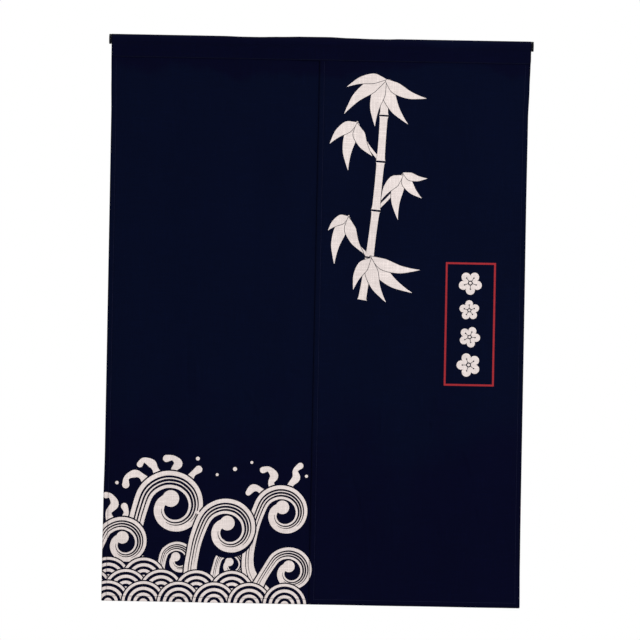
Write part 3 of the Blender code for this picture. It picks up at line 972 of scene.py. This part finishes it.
class Wire:
    """A node's output that adds Math nodes to its tree as it takes part in a sum."""

    def __init__(self, tree, socket=None):
        self.tree = tree
        self.socket = socket

    def node(self, kind, settings=None, sockets=None, output=0):
        """A new node of a kind: its settings first, then the values or links of its sockets."""
        made = self.tree.nodes.new(kind)
        for name, value in (settings or {}).items():
            setattr(made, name, value)
        self.fill(made, sockets or {})
        return Wire(self.tree, made.outputs[output] if made.outputs else None)

    def fill(self, made, sockets):
        """Sets or links the sockets of a node."""
        for name, value in sockets.items():
            target = made.inputs[name]
            if isinstance(value, Wire):
                self.tree.links.new(value.socket, target)
            elif target.type == "RGBA":
                target.default_value = (*value, 1.0)
            else:
                target.default_value = value

    def output(self, place):
        """Another output of the same node."""
        return Wire(self.tree, self.socket.node.outputs[place])

    def maths(self, operation, *values):
        """A Math node on these values alone, each a wire or a number."""
        return self.node("ShaderNodeMath", {"operation": operation}, dict(enumerate(values)))

    def __add__(self, other):
        return self.maths("ADD", self, other)

    def __sub__(self, other):
        return self.maths("SUBTRACT", self, other)

    def __rsub__(self, other):
        return self.maths("SUBTRACT", other, self)

    def __mul__(self, other):
        return self.maths("MULTIPLY", self, other)

    def __pow__(self, other):
        return self.maths("POWER", self, other)

    __radd__ = __add__
    __rmul__ = __mul__

    def stretched(self, across, along, seed, detail=2.0):
        """Smooth noise on these coordinates, in grains of the given width and length."""
        scaled = self.node("ShaderNodeVectorMath", {"operation": "MULTIPLY"},
                           {0: self, 1: (1 / across, 1 / along, 1.0)})
        moved = self.node("ShaderNodeVectorMath", {"operation": "ADD"},
                          {0: scaled, 1: (seed * SEED_SHIFT[0], seed * SEED_SHIFT[1], 0.0)})
        return self.node("ShaderNodeTexNoise", {"noise_dimensions": "2D"},
                         {"Vector": moved, "Scale": 1.0, "Detail": detail, "Roughness": 0.5})

    def noise(self, scale, detail):
        """Smooth noise at this place."""
        return self.node("ShaderNodeTexNoise", sockets={"Vector": self, "Scale": scale, "Detail": detail})

    def relief(self, strength, distance):
        """This height as bumps."""
        return self.node("ShaderNodeBump", sockets={"Strength": strength, "Distance": distance,
                                                    "Height": self})

    def tinted(self, colour):
        """A colour made lighter or darker by this value."""
        return self.node("ShaderNodeVectorMath", {"operation": "SCALE"}, {0: colour, "Scale": self})

    def between(self, low, high):
        """0 below low, 1 above high, softly joined."""
        return self.node("ShaderNodeMapRange", {"interpolation_type": "SMOOTHSTEP"},
                         {"Value": self, "From Min": low, "From Max": high})


def new_object(name, data):
    """An object in the scene."""
    made = bpy.data.objects.new(name, data)
    bpy.context.scene.collection.objects.link(made)
    return made


def new_material(name):
    """A material with its own nodes, and a wire and a shader to build them with."""
    material = bpy.data.materials.new(name)
    material.use_nodes = True
    return material, Wire(material.node_tree), material.node_tree.nodes["Principled BSDF"]


# The weave, and how much each of its parts changes the tone
THREAD_PITCH = 0.00078
THREAD_RUN = 0.030
SLUB_WIDTH = 0.0021
SLUB_RUN = 0.055
CROSSING_BORDER = 0.12
THICK_WARP_FROM = (0.50, 0.78)
THICK_WEFT_FROM = (0.48, 0.76)
CLOUD_WIDTH = 0.16
CLOUD_RUN = 0.21
WEAVE_RELIEF = 0.00013
NOISE_MEAN = 0.5
DOME_MEAN = 0.62
SLUB_MEAN = 0.25
THREAD_TONE = 1.2
# Painted shade in the weave's hollows between the thread crowns
WEAVE_HOLLOW_SHADE = 0.6
SLUB_TONE = 0.35
CLOUD_TONE = 0.45
PRESSED_SHADE = 0.22
EDGE_SHADE = 0.9
CLOTH_GLOSS = 0.03
CLOTH_FUZZ = 0.012
# Drops between which the navy is painted darker, as shade, at the top and low down, and how far each
# border wanders
PAINTED_SHADE_ABOVE = (0.036, 0.064)
PAINTED_SHADE_BELOW = (0.660, 0.940)
WANDER_ABOVE = 0.12
WANDER_BELOW = 0.5


def woven_cloth(name, dye, painted_shade_colour, contrast):
    """Plain-woven linen-look cloth: fine threads both ways, some of them thick, matte all over.

    The colour turns darker near the sleeve and low down, as painted shade. contrast says how much the
    threads differ in tone.
    """
    material, wire, shader = new_material(name)
    place = wire.node("ShaderNodeUVMap", {"uv_map": "weave"})
    parts = wire.node("ShaderNodeSeparateXYZ", sockets={"Vector": place})
    u = wire.maths("SINE", parts * (math.pi / THREAD_PITCH))
    v = wire.maths("SINE", parts.output(1) * (math.pi / THREAD_PITCH))
    crossing = u * v
    over = crossing.between(-CROSSING_BORDER, CROSSING_BORDER)
    dome = wire.maths("ABSOLUTE", crossing) ** 0.5
    warp = place.stretched(THREAD_PITCH * 1.1, THREAD_RUN, seed=1)
    weft = place.stretched(THREAD_RUN, THREAD_PITCH * 1.1, seed=2)
    thread = warp * over + weft * (1 - over)
    thick_warp = place.stretched(SLUB_WIDTH, SLUB_RUN, seed=3, detail=1.0).between(*THICK_WARP_FROM)
    thick_weft = place.stretched(SLUB_RUN, SLUB_WIDTH, seed=4, detail=1.0).between(*THICK_WEFT_FROM)
    slub = thick_warp + thick_weft
    cloud = place.stretched(CLOUD_WIDTH, CLOUD_RUN, seed=5, detail=3.0)
    # The weave's hollows between the thread crowns take painted shade; threads, slubs and clouds vary the
    # tone at random
    tone = 1 + contrast * ((thread - NOISE_MEAN) * THREAD_TONE + (dome - DOME_MEAN) * WEAVE_HOLLOW_SHADE
                           + (slub - SLUB_MEAN) * SLUB_TONE + (cloud - NOISE_MEAN) * CLOUD_TONE)
    # Painted shade: the colour turns darker near the sleeve and low down
    drop, wander = parts.output(1), cloud - NOISE_MEAN
    above = (drop + wander * WANDER_ABOVE).between(*PAINTED_SHADE_ABOVE)
    below = (drop + wander * WANDER_BELOW).between(*PAINTED_SHADE_BELOW)
    drift = wire.maths("MAXIMUM", 1 - above, below)
    colour = wire.node("ShaderNodeMix", {"data_type": "RGBA"}, {0: drift, 6: dye, 7: painted_shade_colour},
                       output=2)
    # Painted shade: darker along the seam lines and round the cloth's rolled rim
    painted_seam_shade = wire.node("ShaderNodeAttribute", {"attribute_name": "painted_seam_shade"}, output=2)
    painted_edge_shade = wire.node("ShaderNodeAttribute", {"attribute_name": "painted_edge_shade"}, output=2)
    tone = tone * (1 - PRESSED_SHADE * painted_seam_shade) * (1 - EDGE_SHADE * contrast * painted_edge_shade)
    height = dome * (0.55 + 0.5 * thread) + slub * 0.8
    wire.fill(shader, {
        "Base Color": tone.tinted(colour),
        "Roughness": 0.84 + 0.14 * thread,
        "Specular IOR Level": CLOTH_GLOSS,
        "Sheen Weight": CLOTH_FUZZ,
        "Sheen Roughness": 0.45,
        "Sheen Tint": (0.55, 0.60, 0.80),
        "Normal": height.relief(0.75, WEAVE_RELIEF),
    })
    return material


def sewing_thread(name, colour):
    """Twisted sewing thread, a little glossier than the cloth."""
    material, wire, shader = new_material(name)
    place = wire.node("ShaderNodeTexCoord", output=3)
    fibre = place.noise(2600.0, 2.0)
    drift = place.noise(60.0, 1.0)
    wire.fill(shader, {
        "Base Color": (0.55 + 0.5 * fibre + 0.4 * drift).tinted(colour),
        "Roughness": 0.55 + 0.2 * fibre,
        "Specular IOR Level": 0.12,
        "Normal": fibre.relief(0.5, 0.00006),
    })
    return material


def painted_rod(name, colour):
    """Dark painted wood: the grain shows through the paint as long low ridges, rubbed lighter."""
    material, wire, shader = new_material(name)
    place = wire.node("ShaderNodeTexCoord", output=3)
    grain_place = wire.node("ShaderNodeVectorMath", {"operation": "MULTIPLY"},
                            {0: place, 1: (9.0, 420.0, 420.0)})
    grain = grain_place.noise(1.0, 3.0)
    speck = place.noise(900.0, 2.0)
    wire.fill(shader, {
        "Base Color": (0.75 + 0.5 * grain.between(0.35, 0.7)).tinted(colour),
        "Roughness": 0.38 + 0.2 * speck,
        "Specular IOR Level": 0.35,
        "Normal": (grain + speck * 0.3).relief(0.4, 0.00008),
    })
    return material


# Distances from the axis between which the caps' rubbed rims begin
CAP_RUBBED = (0.0088, 0.0101)


def moulded_rubber(name, colour):
    """Matte rubber with a fine even grain, rubbed a little lighter round its rim."""
    material, wire, shader = new_material(name)
    place = wire.node("ShaderNodeTexCoord", output=3)
    parts = wire.node("ShaderNodeSeparateXYZ", sockets={"Vector": place})
    y, z = parts.output(1), parts.output(2)
    rim = ((y * y + z * z) ** 0.5).between(*CAP_RUBBED)
    grain = place.noise(3200.0, 2.0)
    scuff = place.noise(520.0, 4.0)
    wire.fill(shader, {
        "Base Color": (0.85 + 0.3 * scuff + 0.5 * (rim * scuff.between(0.5, 0.7))).tinted(colour),
        "Roughness": 0.55 + 0.18 * scuff,
        "Specular IOR Level": 0.06,
        "Normal": grain.relief(0.35, 0.00005),
    })
    return material


def pale_floor(name):
    """A plain pale floor with the faintest mottling."""
    material, wire, shader = new_material(name)
    place = wire.node("ShaderNodeTexCoord", output=3)
    mottle = place.noise(1.4, 3.0)
    wire.fill(shader, {
        "Base Color": (0.97 + 0.06 * mottle).tinted((0.92, 0.92, 0.92)),
        "Roughness": 0.75 + 0.1 * mottle,
        "Specular IOR Level": 0.2,
    })
    return material


# The cloth's dyes, and how they show through on its back
DYES = {
    NAVY: (0.0009, 0.0022, 0.0118),
    WHITE: (0.652, 0.578, 0.556),
    RED: (0.280, 0.021, 0.027),
}
# A darker navy, painted as shade near the sleeve and low down
PAINTED_SHADE_COLOURS = DYES | {NAVY: (0.0009, 0.0013, 0.0102)}
BACK_DYES = {
    NAVY: (0.0085, 0.0125, 0.0350),
    WHITE: (0.560, 0.500, 0.500),
    RED: (0.230, 0.040, 0.052),
}
# A darker navy for the back, painted as shade near the sleeve and low down
PAINTED_SHADE_BACK_COLOURS = BACK_DYES | {NAVY: (0.0085, 0.0108, 0.0330)}
PANEL_CLOTHS = list(DYES)
CONTRAST = {NAVY: 0.36, WHITE: 0.38, RED: 0.36}
BACK_CONTRAST = {NAVY: 0.50, WHITE: 0.38, RED: 0.45}


# Stitches
class StitchTree:
    """The node tree that lays stitches along seams, and its inputs by name."""

    def __init__(self):
        self.tree = bpy.data.node_groups.new("stitches_along_seams", "GeometryNodeTree")
        self.inputs = {}
        sockets = self.tree.interface
        sockets.new_socket(name="Geometry", in_out="OUTPUT", socket_type="NodeSocketGeometry")
        for name, kind in (("Seams", "Geometry"), ("Pitch", "Float"), ("Stitch Length", "Float"),
                           ("Thread Width", "Float"), ("Rise", "Float"), ("Seed", "Int"),
                           ("Thread", "Material")):
            made = sockets.new_socket(name=name, in_out="INPUT", socket_type="NodeSocket" + kind)
            self.inputs[name] = made.identifier
        wire = Wire(self.tree)
        given = wire.node("NodeGroupInput")
        by_name = {name: given.output(place) for place, name in enumerate(self.inputs)}
        stitch = self.one_stitch(wire, by_name)
        line = wire.node("GeometryNodeMeshToCurve", sockets={"Mesh": by_name["Seams"]})
        places = wire.node("GeometryNodeResampleCurve", {"mode": "LENGTH"},
                           {"Curve": line, "Length": by_name["Pitch"]})
        size = wire.node("FunctionNodeRandomValue", {"data_type": "FLOAT_VECTOR"},
                         {0: STITCH_LEAST, 1: STITCH_MOST, "Seed": by_name["Seed"]})
        laid = wire.node("GeometryNodeInstanceOnPoints", sockets={
            "Points": places, "Instance": stitch, "Rotation": self.turn(wire, by_name), "Scale": size})
        laid = wire.node("GeometryNodeRealizeInstances", sockets={"Geometry": laid})
        laid = wire.node("GeometryNodeSetMaterial",
                         sockets={"Geometry": laid, "Material": by_name["Thread"]})
        wire.node("NodeGroupOutput", sockets={"Geometry": laid})

    def turn(self, wire, by_name):
        """How each stitch is turned: along its seam, its back to the cloth, a little askew."""
        outward = wire.node("GeometryNodeInputNamedAttribute", {"data_type": "FLOAT_VECTOR"},
                            {"Name": "outward"})
        tangent = wire.node("GeometryNodeInputTangent")
        turned = wire.node("FunctionNodeAlignRotationToVector", {"axis": "X"}, {"Vector": tangent})
        turned = wire.node("FunctionNodeAlignRotationToVector", {"axis": "Z", "pivot_axis": "X"},
                           {"Rotation": turned, "Vector": outward})
        wobble = wire.node("FunctionNodeRandomValue", {"data_type": "FLOAT"},
                           {2: -STITCH_WOBBLE, 3: STITCH_WOBBLE, "Seed": by_name["Seed"]}, output=1)
        twist = wire.node("FunctionNodeEulerToRotation",
                          sockets={"Euler": wire.node("ShaderNodeCombineXYZ", sockets={2: wobble})})
        return wire.node("FunctionNodeRotateRotation", {"rotation_space": "LOCAL"},
                         {"Rotation": turned, "Rotate By": twist})

    def one_stitch(self, wire, by_name):
        """A stitch along X: thread that rises out of the cloth, lies on it and dips back in."""
        half = by_name["Stitch Length"] * 0.5
        start = wire.node("ShaderNodeCombineXYZ", sockets={0: half * -1.0})
        end = wire.node("ShaderNodeCombineXYZ", sockets={0: half})
        line = wire.node("GeometryNodeCurvePrimitiveLine", sockets={"Start": start, "End": end})
        line = wire.node("GeometryNodeResampleCurve", {"mode": "COUNT"},
                         {"Curve": line, "Count": STITCH_STEPS})
        place = wire.node("GeometryNodeInputPosition")
        along = wire.node("ShaderNodeSeparateXYZ", sockets={"Vector": place})
        share = wire.maths("DIVIDE", along, half)
        arch = 1 - share * share * share * share
        rise = by_name["Rise"] * (arch - STITCH_SINK)
        line = wire.node("GeometryNodeSetPosition", sockets={
            "Geometry": line, "Offset": wire.node("ShaderNodeCombineXYZ", sockets={2: rise})})
        ring = wire.node("GeometryNodeCurvePrimitiveCircle",
                         sockets={"Resolution": THREAD_SIDES, "Radius": by_name["Thread Width"] * 0.5})
        body = wire.node("GeometryNodeCurveToMesh", sockets={
            "Curve": line, "Profile Curve": ring, "Fill Caps": True})
        return wire.node("GeometryNodeSetShadeSmooth", sockets={"Geometry": body})


def stitches(name, paths, tree, thread, seed):
    """A run of stitches along seams, each a line of points and the way along Y that it faces."""
    points, edges, outward = [], [], []
    for line, facing in paths:
        first = len(points)
        points += line.tolist()
        edges += [(first + place, first + place + 1) for place in range(len(line) - 1)]
        outward += [(0.0, float(facing), 0.0)] * len(line)
    mesh = bpy.data.meshes.new(name + "_seams")
    mesh.from_pydata(points, edges, [])
    attribute = mesh.attributes.new("outward", "FLOAT_VECTOR", "POINT")
    attribute.data.foreach_set("vector", np.ravel(outward))
    piece = new_object(name, mesh)
    modifier = piece.modifiers.new("stitches", "NODES")
    modifier.node_group = tree.tree
    for label, value in (("Pitch", STITCH_PITCH), ("Stitch Length", STITCH_LENGTH),
                         ("Thread Width", THREAD_WIDTH), ("Rise", STITCH_RISE), ("Seed", seed),
                         ("Thread", thread)):
        modifier[tree.inputs[label]] = value
    piece.data.update()
    evaluated = piece.evaluated_get(bpy.context.evaluated_depsgraph_get())
    sewn = bpy.data.meshes.new_from_object(evaluated)
    piece.modifiers.remove(modifier)
    sewn.name = name
    piece.data = sewn
    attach(piece, "root")
    return piece


def add_piece(name, mesh, materials, node):
    """A finished piece in place of one of the part's own nodes."""
    for material in materials:
        mesh.materials.append(material)
    piece = new_object(name, mesh)
    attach(piece, "root")
    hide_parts(node)
    return piece


# Making the curtain
fronts = [woven_cloth(dye + "_linen", DYES[dye], PAINTED_SHADE_COLOURS[dye], CONTRAST[dye]) for dye in DYES]
backs = [woven_cloth(dye + "_linen_back", BACK_DYES[dye], PAINTED_SHADE_BACK_COLOURS[dye], BACK_CONTRAST[dye])
         for dye in DYES]
navy_thread = sewing_thread("navy_thread", (0.0064, 0.0082, 0.0370))
dark_thread = sewing_thread("dark_thread", (0.0024, 0.0036, 0.0165))
stitch_tree = StitchTree()

design = [*sea(), *bamboo(), *framed_blossoms()]
sleeve = add_piece("heading_sleeve_cloth", sleeve_mesh(), fronts[:1], "heading_sleeve")
sleeve_seam = stitches("stitches_sleeve", sleeve_paths(), stitch_tree, dark_thread, SLEEVE_STITCH_SEED)
for panel in (LEFT, RIGHT):
    cloth = add_piece(panel.name + "_cloth", panel_mesh(panel, design), fronts + backs, panel.name)
    seam = stitches(panel.name.replace("panel", "stitches"), hem_paths(panel), stitch_tree, navy_thread,
                    panel.stitch_seed)

rubber = moulded_rubber("moulded_rubber", (0.0016, 0.0018, 0.0042))
for name, side in (("end_cap_left", -1), ("end_cap_right", 1)):
    add_piece(name + "_rubber", cap_mesh(name + "_rubber", side), [rubber], name)

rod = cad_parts["rod"]
rod.data.materials.clear()
rod.data.materials.append(painted_rod("painted_rod", (0.0030, 0.0040, 0.0100)))

# Camera: far back and square on, a little turned as in the photograph
VIEW_DISTANCE = 12.0
VIEW_WIDTH = 1.3046
VIEW_CENTRE = (0.00757, -0.5650)
VIEW_TURN = math.radians(1.07)
lens = bpy.data.cameras.new("camera")
lens.sensor_width = 36.0
lens.lens = lens.sensor_width * VIEW_DISTANCE / VIEW_WIDTH
lens.clip_end = 100.0
camera = new_object("camera", lens)
camera.matrix_world = (Matrix.Translation((VIEW_CENTRE[0], -VIEW_DISTANCE, VIEW_CENTRE[1]))
                       @ Matrix.Rotation(math.pi / 2, 4, "X") @ Matrix.Rotation(VIEW_TURN, 4, "Z"))
bpy.context.scene.camera = camera
bpy.context.scene.view_settings.view_transform = "Standard"

# Light: a soft even room, which the camera sees as a white backdrop, a wide lamp high on the right of
# the front, and soft light straight down on the sleeve's top and the floor
BACKDROP_LIGHT = 1.0
ROOM_LIGHT = 0.62
world = bpy.data.worlds.new("white_room")
world.use_nodes = True
room = Wire(world.node_tree)
backdrop, daylight = (room.node("ShaderNodeBackground",
                                sockets={"Color": (1.0, 1.0, 1.0), "Strength": strength})
                      for strength in (BACKDROP_LIGHT, ROOM_LIGHT))
seen = room.node("ShaderNodeMixShader",
                 sockets={0: room.node("ShaderNodeLightPath"), 1: daylight, 2: backdrop})
room.fill(world.node_tree.nodes["World Output"], {"Surface": seen})
bpy.context.scene.world = world

LAMP_PLACE = (2.3, -3.2, 1.3)
LAMP_AIM = (0.0, 0.0, -0.55)
LAMP_SIZE = 1.8
LAMP_POWER = 94.0
lamp_light = bpy.data.lights.new("lamp", "AREA")
lamp_light.size = LAMP_SIZE
lamp_light.energy = LAMP_POWER
lamp = new_object("lamp", lamp_light)
lamp.location = LAMP_PLACE
lamp.rotation_euler = (Vector(LAMP_AIM) - Vector(LAMP_PLACE)).to_track_quat("-Z", "Y").to_euler()

CEILING_LIGHT = 1.3
CEILING_SPREAD = math.radians(40)
ceiling_light = bpy.data.lights.new("ceiling_light", "SUN")
ceiling_light.energy = CEILING_LIGHT
ceiling_light.angle = CEILING_SPREAD
new_object("ceiling_light", ceiling_light)

# Floor, well below the photograph's view
FLOOR_DROP = 1.9
FLOOR_HALF = 12.0
floor_mesh = bpy.data.meshes.new("floor")
floor_corners = box(-FLOOR_HALF, FLOOR_HALF, -FLOOR_HALF, FLOOR_HALF)
floor_mesh.from_pydata([(x, y, -FLOOR_DROP) for x, y in floor_corners], [], [(0, 1, 2, 3)])
floor_mesh.materials.append(pale_floor("pale_floor"))
floor = new_object("floor", floor_mesh)
